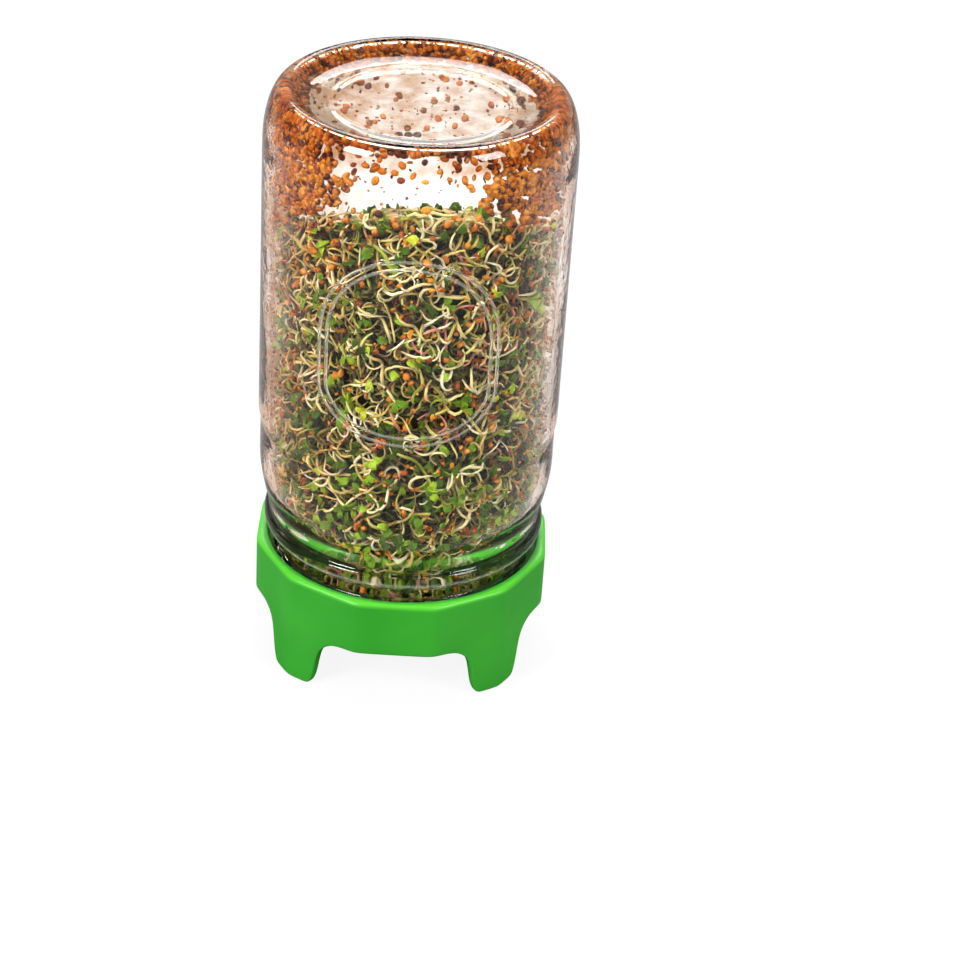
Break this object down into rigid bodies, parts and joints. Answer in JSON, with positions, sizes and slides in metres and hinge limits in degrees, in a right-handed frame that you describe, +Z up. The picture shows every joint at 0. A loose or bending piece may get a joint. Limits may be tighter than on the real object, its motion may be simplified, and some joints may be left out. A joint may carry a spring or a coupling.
{
  "type": "jar of bean sprouts",
  "caption": "Upturned wide-mouth glass jar packed with mixed sprouts and seeds, screwed into a footed strainer lid with a wire screen that lets it drain.",
  "frame": {"origin": "on the table, under the middle of the jar", "axes": "+Z up, from the feet to the jar's base; -Y is the side that the camera sees; the feet stand at 45 degrees to X and Y"},
  "size_m": [0.098, 0.098, 0.1961],
  "materials": {
    "clear_glass": "clear pressed glass, polished, a little grey in its thick edges",
    "green_plastic": "moulded, satin gloss",
    "steel_wire": "plain woven wire cloth",
    "sprouts": "fresh stems and seed leaves, moist; cream stems, green leaves, amber and maroon seeds",
    "wet_seeds": "wet seeds, amber, rust and maroon"
  },
  "bodies": {
    "root": {"glass_jar": "clear_glass", "strainer_lid": "green_plastic", "mesh_ring": "green_plastic", "mesh_screen": "steel_wire", "sprout_mass": "sprouts", "clinging_seeds": "wet_seeds"}
  },
  "joints": []
}
